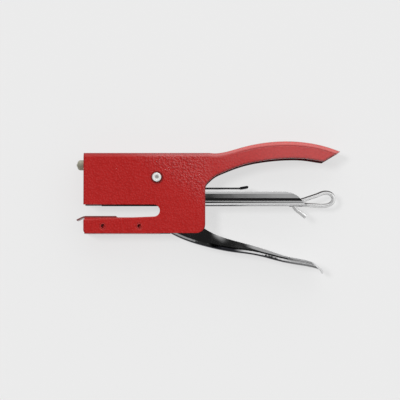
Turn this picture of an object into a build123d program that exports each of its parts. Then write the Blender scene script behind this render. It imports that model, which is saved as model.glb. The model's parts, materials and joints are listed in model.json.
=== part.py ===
from build123d import *
import math
import os

# Plier stapler lying on its side, in millimetres.
# Working frame: pivot pin on the Z axis, +X to the handle ends, +Y to the upper handle,
# Z = 0 on the middle plane. The last step moves everything onto the table.

# Widths across the tool, from the staple outwards
STAPLE_CROWN = 12.0
STAPLE_WIRE = 0.6
STAPLE_PLAY = 0.15
MAG_SHEET = 0.8
MAG_TO_LEVER = 0.3
LEVER_SHEET = 1.2
LEVER_TO_SHELL = 0.3
SHELL_SHEET = 1.1

mag_in = STAPLE_CROWN / 2 + STAPLE_PLAY
mag_out = mag_in + MAG_SHEET
lever_in = mag_out + MAG_TO_LEVER
lever_out = lever_in + LEVER_SHEET
shell_in = lever_out + LEVER_TO_SHELL
shell_out = shell_in + SHELL_SHEET

# Shell side view, measured from the pivot
HEAD_FRONT = 47.9
HEAD_TOP = 16.1
HEAD_BOTTOM = 17.9
THROAT_END = 2.1
THROAT_GAP = 7.9
ARM_BOTTOM = 36.6
ARM_TAPER = 2.3
ARM_CORNER = 2.0
REAR_EDGE = 31.8
REAR_CORNER = 6.0
FOLD_RADIUS = 3.0

# Upper handle, a channel pressed from the same sheet
HANDLE_REACH = 89.0
HANDLE_ROOT = 3.0
HANDLE_RISE = 7.8
HANDLE_DEPTH = 11.6
CREST_TAPER = 2.2
SKIRT_FLARE = 0.6
CREST_RADIUS = 4.2
END_CUT_BACK = 11.4
END_CUT_DROP = 6.8

# Nose
NOSE_SHEET = 1.2
NOSE_LIFT = 0.9
STUD_HEIGHT = 8.4
STUD_RADIUS = 3.35
STUD_PROUD = 5.2
STUD_DOME = 2.6
STUD_CORNER = 2.0
STUD_SHANK = 1.8
STUD_TAIL = 0.9

# Lower arm and anvil
ARM_BAR_SHEET = 1.1
ARM_BAR_OVERRUN = 0.1
ARM_BAR_PROUD = 0.4
ANVIL_DROP = 7.5
ANVIL_SHEET = 0.9
ANVIL_LENGTH = 20.6
ANVIL_HALF = 8.9
ANVIL_SETBACK = 1.2
LIP_HALF = 6.4
LIP_BEND = 26.0
LIP_RADIUS = 5.0
LIP_LENGTH = 4.0
POCKET_SETBACK = 6.0
POCKET_LENGTH = 5.2
POCKET_WIDTH = 2.0
POCKET_DEPTH = 0.5
POCKET_OVERRUN = 0.4
ARM_RIVET_X = (35.2, 11.3)
ARM_RIVET_LIFT = 4.6
ARM_RIVET_RADIUS = 2.1
ARM_RIVET_HOLE = 1.2
ARM_RIVET_SINK = 3.0
ARM_RIVET_PROUD = 0.2
ARM_RIVET_EDGE = 0.3

# Pivot
PIN_RADIUS = 2.5
PIN_HEAD_RADIUS = 3.1
PIN_HEAD_HEIGHT = 1.3
PIN_HEAD_ROUND = 0.6
PIN_DIMPLE_RADIUS = 1.6
PIN_DIMPLE_DEPTH = 0.5
TURNING_CLEARANCE = 0.05
BUSH_SHEET = 0.7
BUSH_END_PLAY = 0.1

# Lever
LEVER_START = 8.0
LEVER_REACH = 99.0
LEVER_FALL = 24.2
LEVER_ROUND = 3.2
LEVER_BOSS = 8.5
LEG_SETBACK = 2.2
LEG_WIDTH = 9.6
CHEEK_SETBACK = 3.2
CHEEK_LOW = 0.5
CHEEK_NOSE = 7.0
CHEEK_LAP = 0.2
CHEEK_ROUND = 2.0
BRIDGE_DROP = 3.7
BRIDGE_REAR = 9.0
BRIDGE_SETBACK = 7.6
BRIDGE_BEND = 1.8
TONGUE_HEIGHT = 2.6
TONGUE_HALF = 3.2
TONGUE_PROUD = 0.4
GRIP_END_ROUND = 6.5
TIP_HALF = 5.6
TIP_RUN = 3.4
TIP_CURL = 50.0
TIP_CURL_RADIUS = 2.8
TIP_LENGTH = 2.0

# Magazine
MAG_PROUD = 1.0
MAG_HEIGHT = 9.5
MAG_ROUND = 2.2
GROOVE_DROP = 4.2
GROOVE_WIDTH = 2.3
GROOVE_DEPTH = 0.1
MAG_SETBACK = 2.2
MAG_REAR = 97.7
MAG_REAR_RAKE = 13.0
NOSE_CUT_LENGTH = 9.5
NOSE_CUT_LIFT = 1.9
GUIDE_SHEET = 0.7
GUIDE_HEIGHT = 12.0
EAR_RADIUS = 5.5
EAR_FRONT = 9.0
EAR_REAR = 13.0
EAR_SHOULDER = 3.0
TAIL_NOTCH_LENGTH = 10.6
TAIL_NOTCH_PLAY = 0.6

# Staple rail inside the magazine
RAIL_SINK = 2.1
RAIL_SHEET = 0.8
RAIL_SLOT_HALF = 1.0
RAIL_TO_DRIVER = 0.3
RAIL_SETBACK = 11.7
RAIL_SLOT_LAND = 8.0

# Driver
DRIVER_SHEET = 0.8
DRIVER_PLAY = 0.2
DRIVER_SIDE_PLAY = 0.35
DRIVER_TIP = 11.0
DRIVER_TOP = 6.0
WINDOW_PLAY = 0.35

# Pull wire, pusher and their springs
WIRE_RADIUS = 1.4
WIRE_PLAY = 0.1
ROD_SETBACK = 5.0
ROD_OVERRUN = 0.8
EYE_BEHIND = 14.2
EYE_LIFT = 0.7
EYE_RUN = 7.2
EYE_RADIUS = 4.3
EYE_SLOPE = 18.7
WIRE_STEP = 3.4
TAIL_SETBACK = 6.1
TAIL_RADIUS = 2.2
TAIL_LENGTH = 9.2
TAIL_HEADING = 320.0
ROD_GUIDE_LENGTH = 4.0
CLIP_RADIUS = 2.2
CLIP_SHEET = 0.8
FIN_LENGTH = 2.0
FIN_HALF = 0.85
FIN_BOSS_HALF = 2.3
FIN_PLAY = 0.3
PUSHER_SETBACK = 0.3
PUSHER_LENGTH = 9.6
PUSHER_SHEET = 1.1
PUSHER_SKIRT = 0.5
PUSHER_PLAY = 0.15
PUSHER_SKIRT_DROP = 4.2
PUSH_WIRE = 0.5
PUSH_COILS = 26
PUSH_COIL_PLAY = 0.2

# Clamp spring between lever and magazine, and torsion spring on the pivot
CLAMP_X = 30.0
CLAMP_RADIUS = 3.5
CLAMP_WIRE = 0.9
CLAMP_COILS = 7
SEAT_LENGTH = 10.0
SEAT_SHEET = 1.0
SEAT_SPIGOT_PLAY = 0.4
SEAT_SPIGOT_HEIGHT = 1.5
TORSION_WIRE = 1.0
TORSION_PLAY = 0.3
TORSION_COILS = 3
TORSION_PITCH = 1.5
TORSION_LEG_ANGLE = 157.0
SPRING_END_GAP = 0.05

# Catch leaf above the magazine
CATCH_PIN_X = 9.5
CATCH_PIN_LIFT = 3.9
CATCH_PIN_RADIUS = 1.0
CATCH_SHEET = 0.9
CATCH_HALF = 4.0
CATCH_BEND_X = 54.5
CATCH_TIP_X = 60.2
CATCH_TIP_RISE = 9.0
CATCH_BEAD = 0.8
CATCH_HEM = 4.2

# Places that follow from these sizes
mag_front = HEAD_FRONT - MAG_SETBACK
mag_low = -HEAD_BOTTOM - MAG_PROUD
mag_floor = mag_low + MAG_SHEET
mag_top = mag_low + MAG_HEIGHT
nose_cut_x = mag_front - NOSE_CUT_LENGTH
nose_cut_y = mag_low + NOSE_CUT_LIFT
anvil_top = -HEAD_BOTTOM - ANVIL_DROP
arm_bar_end = THROAT_END + ARM_BAR_OVERRUN
arm_rivet_y = ARM_RIVET_LIFT - ARM_BOTTOM
bridge_top = HEAD_TOP - BRIDGE_DROP
bridge_front = mag_front - BRIDGE_SETBACK
tongue_end = mag_front + TONGUE_PROUD
rail_top = mag_top - RAIL_SINK
rail_front = mag_front - DRIVER_PLAY - DRIVER_SHEET - RAIL_TO_DRIVER
rail_rear = MAG_REAR - RAIL_SETBACK
pusher_front = rail_front - PUSHER_SETBACK
rod_front = pusher_front - ROD_SETBACK
catch_pin_y = mag_top + CATCH_PIN_LIFT


def across_at(x):
    """Plane square to X at x, with local x along Z and local y along Y."""
    return Plane(origin=(x, 0, 0), x_dir=(0, 0, 1), z_dir=(-1, 0, 0))


def slab(face, z0, z1):
    """Side-view face made solid from z0 to z1."""
    return extrude(Pos(0, 0, z0) * face, amount=z1 - z0, dir=(0, 0, 1))


def both_sides(face, z0, z1):
    """The same plate on both sides of the middle plane."""
    return slab(face, z0, z1) + slab(face, -z1, -z0)


def along_x(section, x0, x1):
    """Cross-section carried along X from x0 to x1."""
    return extrude(across_at(x0) * section, amount=x1 - x0, dir=(1, 0, 0))


def block(x0, x1, y0, y1, z0, z1):
    size = Box(x1 - x0, y1 - y0, z1 - z0)
    return Pos((x0 + x1) / 2, (y0 + y1) / 2, (z0 + z1) / 2) * size


def round_bar(x, y, radius, z0, z1):
    return Pos(x, y, (z0 + z1) / 2) * Cylinder(radius, z1 - z0)


def bar_along_x(y, z, radius, x0, x1):
    return Pos((x0 + x1) / 2, y, z) * Rot(0, 90, 0) * Cylinder(radius, x1 - x0)


def polar(centre, radius, degrees):
    a = math.radians(degrees)
    return (centre[0] + radius * math.cos(a), centre[1] + radius * math.sin(a))


def arc(centre, radius, a0, a1):
    """Circular arc in the side view between two angles in degrees."""
    mid = (a0 + a1) / 2
    return ThreePointArc(polar(centre, radius, a0), polar(centre, radius, mid), polar(centre, radius, a1))


def channel_section(half_top, top, half_low, low, radius):
    """Closed section of an inverted channel, rounded at its two top corners."""
    shape = Polygon((-half_low, low), (half_low, low), (half_top, top), (-half_top, top), align=None)
    return fillet(shape.vertices().sort_by(Axis.Y)[-2:], radius)


def gutter_section(half, low, top, radius, lean):
    """Closed section of an upright channel: rounded below, sides leaning in above by lean degrees."""
    centre_x = half - radius
    centre_y = low + radius
    end = polar((centre_x, centre_y), radius, lean)
    mid = polar((centre_x, centre_y), radius, (lean - 90) / 2)
    edge = end[0] - math.tan(math.radians(lean)) * (top - end[1])
    lines = [
        Line((-centre_x, low), (centre_x, low)),
        ThreePointArc((centre_x, low), mid, end),
        Line(end, (edge, top)),
        Line((edge, top), (-edge, top)),
        Line((-edge, top), (-end[0], end[1])),
        ThreePointArc((-end[0], end[1]), (-mid[0], mid[1]), (-centre_x, low)),
    ]
    return make_face(lines)


def plan_rounded(x_end, half, radius):
    """Tall block that ends at x_end with rounded corners, seen from above the tool's back."""
    length = 200
    plan = Pos(x_end - length / 2, 0, 0) * Rot(90, 0, 0) * RectangleRounded(length, 2 * half, radius)
    return extrude(plan, amount=length, both=True)


def smooth(u, u0, u1):
    s = min(1.0, max(0.0, (u - u0) / (u1 - u0)))
    return s * s * (3 - 2 * s)


def biarc(p0, t0, p1, t1):
    """Two arcs that join two points with given unit tangents."""
    v = p1 - p0
    t = t0 + t1
    a = 2 * (t0.dot(t1) - 1)
    b = -2 * v.dot(t)
    d = (-b - math.sqrt(b * b - 4 * a * v.dot(v))) / (2 * a)
    q0 = p0 + t0 * d
    q1 = p1 - t1 * d
    joint = (q0 + q1) * 0.5
    edges = []
    for start, corner, end in ((p0, q0, joint), (joint, q1, p1)):
        w = (end - start).length / 2 / (corner - start).length
        mid = (start + corner * (2 * w) + end) * (1 / (2 + 2 * w))
        edges.append(Edge.make_three_point_arc(start, mid, end))
    return edges


def coil(place, radius, pitch, turns, phase=0.0):
    """Helix about the local Z of place, as quarter-turn biarcs. Returns edges, ends and end tangents."""
    slope = pitch / (2 * math.pi * radius)
    edges = []

    def point(a):
        local = Vector(radius * math.cos(a), radius * math.sin(a), pitch * (a - phase) / (2 * math.pi))
        return place.from_local_coords(local)

    def tangent(a):
        local = Vector(-math.sin(a), math.cos(a), slope)
        return (place.from_local_coords(local) - place.from_local_coords(Vector(0, 0, 0))).normalized()

    steps = round(turns * 4)
    quarter = math.pi / 2
    for i in range(steps):
        a0 = phase + i * quarter
        a1 = a0 + quarter
        edges += biarc(point(a0), tangent(a0), point(a1), tangent(a1))
    last = phase + steps * quarter
    return edges, (point(phase), tangent(phase)), (point(last), tangent(last))


def tube_on(edges, radius):
    """Round wire swept along joined edges."""
    path = Wire(edges)
    start = path.position_at(0)
    plane = Plane(origin=start, z_dir=path.tangent_at(0))
    return sweep(plane * Circle(radius), path=path)


def self_gap(edges, wire_radius, apart):
    """Least gap of a wire to itself, on points that lie further than apart along it."""
    path = Wire(edges)
    count = 800
    points = [path.position_at(i / count) for i in range(count + 1)]
    skip = math.ceil(apart / path.length * count)
    least = min((p - q).length for i, p in enumerate(points) for q in points[i + skip:])
    return least - 2 * wire_radius


# Body shell: head, throat, lower arm and handle folded from one sheet
root_x = REAR_EDGE + HANDLE_ROOT
handle_stations = [
    (0.0, 0.0),
    (0.05, -0.03),
    (0.157, 0.19),
    (0.313, 0.667),
    (0.467, 0.942),
    (0.623, 1.0),
    (0.777, 0.833),
    (0.933, 0.397),
    (1.031, 0.0),
]


def handle_loft(inset, extra):
    """Handle channel through its stations, inset by the sheet for the inside."""
    sections = []
    for u, rise in handle_stations:
        form = smooth(u, 0.05, 0.53)
        x = root_x + u * (HANDLE_REACH - HANDLE_ROOT)
        top = HEAD_TOP + rise * HANDLE_RISE - inset
        half_top = shell_out - CREST_TAPER * form - inset
        half_skirt = shell_out + SKIRT_FLARE * form - inset
        depth = HANDLE_DEPTH * (2.4 - 1.1 * smooth(u, 0.02, 0.33)) + extra
        half_low = half_top + (half_skirt - half_top) * depth / HANDLE_DEPTH
        radius = FOLD_RADIUS + (CREST_RADIUS - FOLD_RADIUS) * form - inset
        sections.append(across_at(x) * channel_section(half_top, top, half_low, top - depth, radius))
    return loft(sections)


high = HEAD_TOP + 2 * HANDLE_RISE
tip = (REAR_EDGE + HANDLE_REACH, HEAD_TOP + 0.128 * HANDLE_RISE)
skirt_end = (tip[0] - END_CUT_BACK, tip[1] - END_CUT_DROP)
beyond = (high - skirt_end[1]) / END_CUT_DROP
skirt_low = HEAD_TOP + HANDLE_RISE - HANDLE_DEPTH
skirt_span = skirt_end[0] - REAR_EDGE
root_y = -0.45 * HEAD_BOTTOM
skirt_points = [
    (REAR_EDGE, root_y),
    (REAR_EDGE + 0.028 * skirt_span, root_y + 0.25 * (skirt_low - root_y)),
    (REAR_EDGE + 0.076 * skirt_span, root_y + 0.412 * (skirt_low - root_y)),
    (REAR_EDGE + 0.146 * skirt_span, root_y + 0.547 * (skirt_low - root_y)),
    (REAR_EDGE + 0.302 * skirt_span, root_y + 0.772 * (skirt_low - root_y)),
    (REAR_EDGE + 0.476 * skirt_span, root_y + 0.919 * (skirt_low - root_y)),
    (REAR_EDGE + 0.70 * skirt_span, skirt_low),
    (REAR_EDGE + 0.88 * skirt_span, skirt_low - 0.05 * HANDLE_DEPTH),
    skirt_end,
]
slot_radius = THROAT_GAP / 2
slot_centre = (THROAT_END - slot_radius, -HEAD_BOTTOM - slot_radius)
slot_low = slot_centre[1] - slot_radius
arm_top_front = slot_low - math.tan(math.radians(ARM_TAPER)) * (slot_centre[0] + HEAD_FRONT)
side_view = make_face([
    Line((-HEAD_FRONT, high), (skirt_end[0] + beyond * END_CUT_BACK, high)),
    Line((skirt_end[0] + beyond * END_CUT_BACK, high), skirt_end),
    Spline(skirt_points[::-1], tangents=[(-1, 0.1), (0, -1)]),
    Line((REAR_EDGE, root_y), (REAR_EDGE, -ARM_BOTTOM + REAR_CORNER)),
    arc((REAR_EDGE - REAR_CORNER, -ARM_BOTTOM + REAR_CORNER), REAR_CORNER, 0, -90),
    Line((REAR_EDGE - REAR_CORNER, -ARM_BOTTOM), (-HEAD_FRONT + ARM_CORNER, -ARM_BOTTOM)),
    arc((-HEAD_FRONT + ARM_CORNER, -ARM_BOTTOM + ARM_CORNER), ARM_CORNER, -90, -180),
    Line((-HEAD_FRONT, -ARM_BOTTOM + ARM_CORNER), (-HEAD_FRONT, arm_top_front)),
    Line((-HEAD_FRONT, arm_top_front), (slot_centre[0], slot_low)),
    arc(slot_centre, slot_radius, -90, 90),
    Line((slot_centre[0], -HEAD_BOTTOM), (-HEAD_FRONT, -HEAD_BOTTOM)),
    Line((-HEAD_FRONT, -HEAD_BOTTOM), (-HEAD_FRONT, high)),
])
head_outside = along_x(
    channel_section(shell_out, HEAD_TOP, shell_out, -ARM_BOTTOM - 1, FOLD_RADIUS), -HEAD_FRONT, root_x
)
head_inside = along_x(
    channel_section(
        shell_in, HEAD_TOP - SHELL_SHEET, shell_in, -ARM_BOTTOM - 2, FOLD_RADIUS - SHELL_SHEET
    ),
    -HEAD_FRONT - 1,
    root_x,
)
body_shell = head_outside + handle_loft(0, 0) - head_inside - handle_loft(SHELL_SHEET, 3)
body_shell = body_shell & slab(side_view, -2 * shell_out, 2 * shell_out)
body_shell -= round_bar(0, 0, PIN_RADIUS, -2 * shell_out, 2 * shell_out)
for x in ARM_RIVET_X:
    body_shell -= round_bar(-x, arm_rivet_y, ARM_RIVET_RADIUS, -2 * shell_out, 2 * shell_out)

# Nose plate that closes the head, with its domed stud
nose_back = -HEAD_FRONT + NOSE_SHEET
nose_plate = along_x(
    channel_section(
        shell_in, HEAD_TOP - SHELL_SHEET, shell_in, -HEAD_BOTTOM + NOSE_LIFT, FOLD_RADIUS - SHELL_SHEET
    ),
    -HEAD_FRONT,
    nose_back,
)
nose_plate -= bar_along_x(STUD_HEIGHT, 0, STUD_SHANK, -HEAD_FRONT - 1, nose_back + 1)

stud_axis = Axis((0, STUD_HEIGHT, 0), (1, 0, 0))
stud_end = -HEAD_FRONT - STUD_PROUD
cap_end = stud_end + STUD_DOME - STUD_CORNER
cap_half = STUD_RADIUS - STUD_CORNER
cap_height = cap_end - stud_end
cap_radius = (cap_half**2 + cap_height**2) / (2 * cap_height)
cap_angle = math.degrees(math.asin(cap_half / cap_radius))
stud_side = make_face([
    arc((stud_end + STUD_DOME, STUD_HEIGHT + cap_half), STUD_CORNER, 90, 180),
    arc((stud_end + cap_radius, STUD_HEIGHT), cap_radius, 180 - cap_angle, 180),
    Polyline(
        (stud_end, STUD_HEIGHT),
        (nose_back + STUD_TAIL, STUD_HEIGHT),
        (nose_back + STUD_TAIL, STUD_HEIGHT + STUD_SHANK),
        (nose_back, STUD_HEIGHT + 1.5 * STUD_SHANK),
        (nose_back, STUD_HEIGHT + STUD_SHANK),
        (-HEAD_FRONT, STUD_HEIGHT + STUD_SHANK),
        (-HEAD_FRONT, STUD_HEIGHT + STUD_RADIUS),
        (stud_end + STUD_DOME, STUD_HEIGHT + STUD_RADIUS),
    ),
])
nose_stud = revolve(stud_side, axis=stud_axis)

# Lower arm: stiffening bar, anvil plate and rivets
bar_low = -ARM_BOTTOM - ARM_BAR_PROUD
anvil_seat = anvil_top - ANVIL_SHEET
bar_front = -HEAD_FRONT + ARM_BAR_SHEET / 2
bar_round = ARM_BAR_SHEET + 0.3
bar_inside = shell_in - ARM_BAR_SHEET
anvil_channel = along_x(gutter_section(shell_in, bar_low, anvil_seat, bar_round, 0), bar_front, arm_bar_end)
anvil_channel -= along_x(
    gutter_section(bar_inside, bar_low + ARM_BAR_SHEET, anvil_seat + 1, bar_round - ARM_BAR_SHEET, 0),
    bar_front - 1,
    arm_bar_end + 1,
)
for x in ARM_RIVET_X:
    anvil_channel -= round_bar(-x, arm_rivet_y, ARM_RIVET_RADIUS, -2 * shell_out, 2 * shell_out)

anvil_front = -HEAD_FRONT + ANVIL_SETBACK
anvil_mid = anvil_top - ANVIL_SHEET / 2
plate_line = Line((anvil_front + ANVIL_LENGTH, anvil_mid), (anvil_front, anvil_mid))
lip_arc = JernArc(plate_line @ 1, plate_line % 1, LIP_RADIUS, LIP_BEND)
lip_line = Line(lip_arc @ 1, lip_arc @ 1 + (lip_arc % 1) * LIP_LENGTH)
anvil_plate = slab(trace(plate_line, line_width=ANVIL_SHEET), -ANVIL_HALF, ANVIL_HALF)
lip_wire = Wire([plate_line.edge(), lip_arc.edge(), lip_line.edge()])
anvil_plate += slab(trace(lip_wire, line_width=ANVIL_SHEET), -LIP_HALF, LIP_HALF)
anvil_plate = fillet(
    anvil_plate.edges().filter_by(Axis.Z).filter_by(
        lambda e: e.center().X > anvil_front + ANVIL_LENGTH - 0.01 and e.center().Y > anvil_mid
    ),
    0.8 * ANVIL_SHEET,
)
for side in (-1, 1):
    pocket_mid = side * (mag_in + POCKET_OVERRUN - POCKET_LENGTH / 2)
    pocket = Pos(POCKET_SETBACK - HEAD_FRONT, anvil_top, pocket_mid) * Rot(90, 0, 0) * SlotOverall(
        POCKET_LENGTH, POCKET_WIDTH, rotation=90
    )
    anvil_plate -= extrude(pocket, amount=POCKET_DEPTH, both=True)


def arm_rivet(x):
    """Hollow-ended rivet whose two rims stand a little proud of the arm."""
    end = shell_out + ARM_RIVET_PROUD
    rivet = round_bar(-x, arm_rivet_y, ARM_RIVET_RADIUS, -end, end)
    for z in (-end, end):
        rivet -= round_bar(-x, arm_rivet_y, ARM_RIVET_HOLE, z - ARM_RIVET_SINK, z + ARM_RIVET_SINK)
    rims = rivet.edges().filter_by(lambda e: abs(e.center().Z) > end - 0.01)
    return chamfer(rims, ARM_RIVET_EDGE)


arm_rivet_front = arm_rivet(ARM_RIVET_X[0])
arm_rivet_rear = arm_rivet(ARM_RIVET_X[1])

# Pivot pin with two upset heads, and the bush between the magazine's ears
head_top = shell_out + PIN_HEAD_HEIGHT
dimple_low = head_top - PIN_DIMPLE_DEPTH
flat_edge = PIN_HEAD_RADIUS - PIN_HEAD_ROUND
round_low = head_top - PIN_HEAD_ROUND
dimple_ball = (PIN_DIMPLE_RADIUS**2 + PIN_DIMPLE_DEPTH**2) / (2 * PIN_DIMPLE_DEPTH)
dimple_angle = math.degrees(math.asin(PIN_DIMPLE_RADIUS / dimple_ball))
round_mid = polar((flat_edge, round_low), PIN_HEAD_ROUND, 45)
half_pin = make_face([
    Line((0, 0), (PIN_RADIUS, 0)),
    Line((PIN_RADIUS, 0), (PIN_RADIUS, shell_out)),
    Line((PIN_RADIUS, shell_out), (PIN_HEAD_RADIUS, shell_out)),
    Line((PIN_HEAD_RADIUS, shell_out), (PIN_HEAD_RADIUS, round_low)),
    ThreePointArc((PIN_HEAD_RADIUS, round_low), round_mid, (flat_edge, head_top)),
    Line((flat_edge, head_top), (PIN_DIMPLE_RADIUS, head_top)),
    arc((0, dimple_low + dimple_ball), dimple_ball, -90 + dimple_angle, -90),
    Line((0, dimple_low), (0, 0)),
])
upper_pin = revolve(Plane.XZ * half_pin, axis=Axis.Z)
pivot_pin = upper_pin + mirror(upper_pin, about=Plane.XY)

bush_half = mag_in - BUSH_END_PLAY
bush_out = PIN_RADIUS + BUSH_SHEET
pivot_bush = round_bar(0, 0, bush_out, -bush_half, bush_half)
pivot_bush -= round_bar(0, 0, PIN_RADIUS, -mag_out, mag_out)

# Lever: two cheeks on the pin, running into a pressed channel that curls down at its tip
def lever_point(u, v):
    """Point of the lever's side view, in shares of its reach and fall."""
    return (LEVER_START + u * LEVER_REACH, -ARM_BOTTOM - v * LEVER_FALL)


lever_back = [
    lever_point(0.0, -0.02),
    lever_point(0.12, 0.212),
    lever_point(0.263, 0.386),
    lever_point(0.404, 0.506),
    lever_point(0.535, 0.576),
    lever_point(0.626, 0.651),
    lever_point(0.727, 0.76),
    lever_point(0.828, 0.842),
    lever_point(0.929, 0.91),
    lever_point(1.0, 0.984),
]
lever_edge = [
    lever_point(0.223, -0.17),
    lever_point(0.288, -0.004),
    lever_point(0.405, 0.171),
    lever_point(0.54, 0.32),
    lever_point(0.67, 0.484),
    lever_point(0.808, 0.655),
    lever_point(0.934, 0.764),
    lever_point(0.98, 0.864),
    lever_point(1.004, 0.988),
]


def lever_trough(half, lift, height, radius):
    """Solid trough on the lever's back line, rounded along its two lower edges."""
    low = [(x, y + lift) for x, y in lever_back]
    top = low[-1][1] + height
    side = make_face([Spline(low), Polyline(low[-1], (low[-1][0], top), (low[0][0], top), low[0])])
    solid = slab(side, -half, half)
    long_edges = solid.edges().filter_by(lambda e: e.center().Y < low[3][1] and e.length > 0.9 * LEVER_REACH)
    return fillet(long_edges, radius)


tail_view = make_face([
    Spline(lever_edge),
    Polyline(
        lever_edge[-1],
        lever_point(1.05, 1.6),
        lever_point(-0.08, 1.6),
        lever_point(-0.08, -0.15),
        lever_point(0.01, -0.25),
        lever_point(0.08, -0.355),
        lever_edge[0],
    ),
])
tail = lever_trough(lever_out, 0, ARM_BOTTOM, LEVER_ROUND)
tail -= lever_trough(lever_in, LEVER_SHEET, ARM_BOTTOM, LEVER_ROUND - LEVER_SHEET)
tail = tail & slab(tail_view, -2 * shell_out, 2 * shell_out)
tail = tail & plan_rounded(lever_back[-1][0] + LEVER_SHEET / 2, lever_out + 0.02, GRIP_END_ROUND)

cheek_front = mag_front - CHEEK_SETBACK
cheek_top = bridge_top + CHEEK_LAP
leg_front = arm_bar_end + LEG_SETBACK
cheek = make_face(
    Polyline(
        (-cheek_front, CHEEK_LOW),
        (-cheek_front, CHEEK_LOW + CHEEK_NOSE),
        (-CLAMP_X, cheek_top),
        (0.25 * LEVER_BOSS, cheek_top),
        (LEVER_BOSS, 0.95 * LEVER_BOSS),
        (leg_front + LEG_WIDTH, -0.55 * HEAD_BOTTOM),
        lever_edge[0],
        lever_point(0.18, 0.02),
        lever_point(0.02, -0.15),
        (leg_front, -HEAD_BOTTOM),
        (-LEVER_BOSS, -0.7 * LEVER_BOSS),
        (-CLAMP_X, CHEEK_LOW),
        close=True,
    )
)
cheek = fillet(cheek.vertices().sort_by(Axis.X)[0:2], CHEEK_ROUND)
lever = tail + both_sides(cheek, lever_in, lever_out)

back_line = Spline(lever_back)
tip_root = back_line @ 0.96
tip_way = back_line % 0.96
tip_start = tip_root + Vector(-tip_way.Y, tip_way.X) * (LEVER_SHEET / 2)
tip_line = Line(tip_start, tip_start + tip_way * TIP_RUN)
tip_arc = JernArc(tip_line @ 1, tip_line % 1, TIP_CURL_RADIUS, -TIP_CURL)
tip_end = Line(tip_arc @ 1, tip_arc @ 1 + (tip_arc % 1) * TIP_LENGTH)
tip_wire = Wire([tip_line.edge(), tip_arc.edge(), tip_end.edge()])
tip_strip = slab(trace(tip_wire, line_width=LEVER_SHEET), -TIP_HALF, TIP_HALF)
lever += tip_strip & plan_rounded((tip_end @ 1).X + LEVER_SHEET / 4, TIP_HALF, 0.75 * TIP_HALF)
lever -= round_bar(0, 0, PIN_RADIUS + TURNING_CLEARANCE, -2 * shell_out, 2 * shell_out)

# Bridge between the cheeks: web, front wall and the tongue that works the driver
web_mid = bridge_top - LEVER_SHEET / 2
wall_mid = -bridge_front + LEVER_SHEET / 2
bridge_line = FilletPolyline(
    (-BRIDGE_REAR, web_mid),
    (wall_mid, web_mid),
    (wall_mid, TONGUE_HEIGHT),
    (-tongue_end, TONGUE_HEIGHT),
    radius=BRIDGE_BEND,
)
lever_bridge = slab(trace(bridge_line, line_width=LEVER_SHEET), -lever_in, lever_in)
tongue_root = -bridge_front - BRIDGE_BEND
for side in (-1, 1):
    z0, z1 = sorted((side * TONGUE_HALF, side * 2 * lever_in))
    lever_bridge -= block(-tongue_end - 1, tongue_root, 0, bridge_top, z0, z1)

# Magazine channel with a pressed groove in each side, ears on the pin, raked rear end and cut-away nose
magazine_channel = along_x(gutter_section(mag_out, mag_low, mag_top, MAG_ROUND, 0), -mag_front, MAG_REAR)
magazine_channel -= along_x(
    gutter_section(mag_in, mag_floor, mag_top + 1, MAG_ROUND - MAG_SHEET, 0), -mag_front - 1, MAG_REAR + 1
)
groove_top = mag_top - GROOVE_DROP
for side in (-1, 1):
    groove = Polygon(
        (side * mag_out, groove_top),
        (side * (mag_out - GROOVE_DEPTH), groove_top - 0.8 * GROOVE_WIDTH),
        (side * mag_out, groove_top - GROOVE_WIDTH),
        align=None,
    )
    magazine_channel -= along_x(groove, -mag_front - 1, MAG_REAR + 1)
rake_start = MAG_REAR - MAG_REAR_RAKE
rake_mid = (MAG_REAR - 0.34 * MAG_REAR_RAKE, mag_top - 0.364 * MAG_HEIGHT)
rake_view = make_face([
    ThreePointArc((rake_start, mag_top), rake_mid, (MAG_REAR, mag_low)),
    Polyline(
        (MAG_REAR, mag_low),
        (MAG_REAR + MAG_REAR_RAKE, mag_low),
        (MAG_REAR + MAG_REAR_RAKE, 0),
        (rake_start, 0),
        (rake_start, mag_top),
    ),
])
magazine_channel -= slab(rake_view, -2 * mag_out, 2 * mag_out)
magazine_channel -= block(-mag_front - 1, -nose_cut_x, mag_low - 1, nose_cut_y, -2 * mag_out, 2 * mag_out)
notch_side = WIRE_RADIUS + TAIL_NOTCH_PLAY
magazine_channel -= block(
    MAG_REAR - TAIL_NOTCH_LENGTH,
    MAG_REAR + 1,
    mag_low - 1,
    mag_floor + WIRE_RADIUS,
    -notch_side,
    WIRE_STEP + notch_side,
)
ear = make_face(
    Polyline(
        (-EAR_FRONT, mag_top),
        (EAR_REAR, mag_top),
        (EAR_REAR, -EAR_SHOULDER),
        (-EAR_RADIUS, -EAR_SHOULDER),
        close=True,
    )
)
ear = ear + Circle(EAR_RADIUS)
magazine_channel += both_sides(ear, mag_in, mag_out)
magazine_channel -= round_bar(0, 0, PIN_RADIUS + TURNING_CLEARANCE, -2 * mag_out, 2 * mag_out)
magazine_channel -= round_bar(CATCH_PIN_X, catch_pin_y, CATCH_PIN_RADIUS, -2 * mag_out, 2 * mag_out)

guide_top = nose_cut_y + GUIDE_HEIGHT
driver_guide = block(-mag_front - GUIDE_SHEET, -mag_front, nose_cut_y, guide_top, -mag_out, mag_out)

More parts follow.
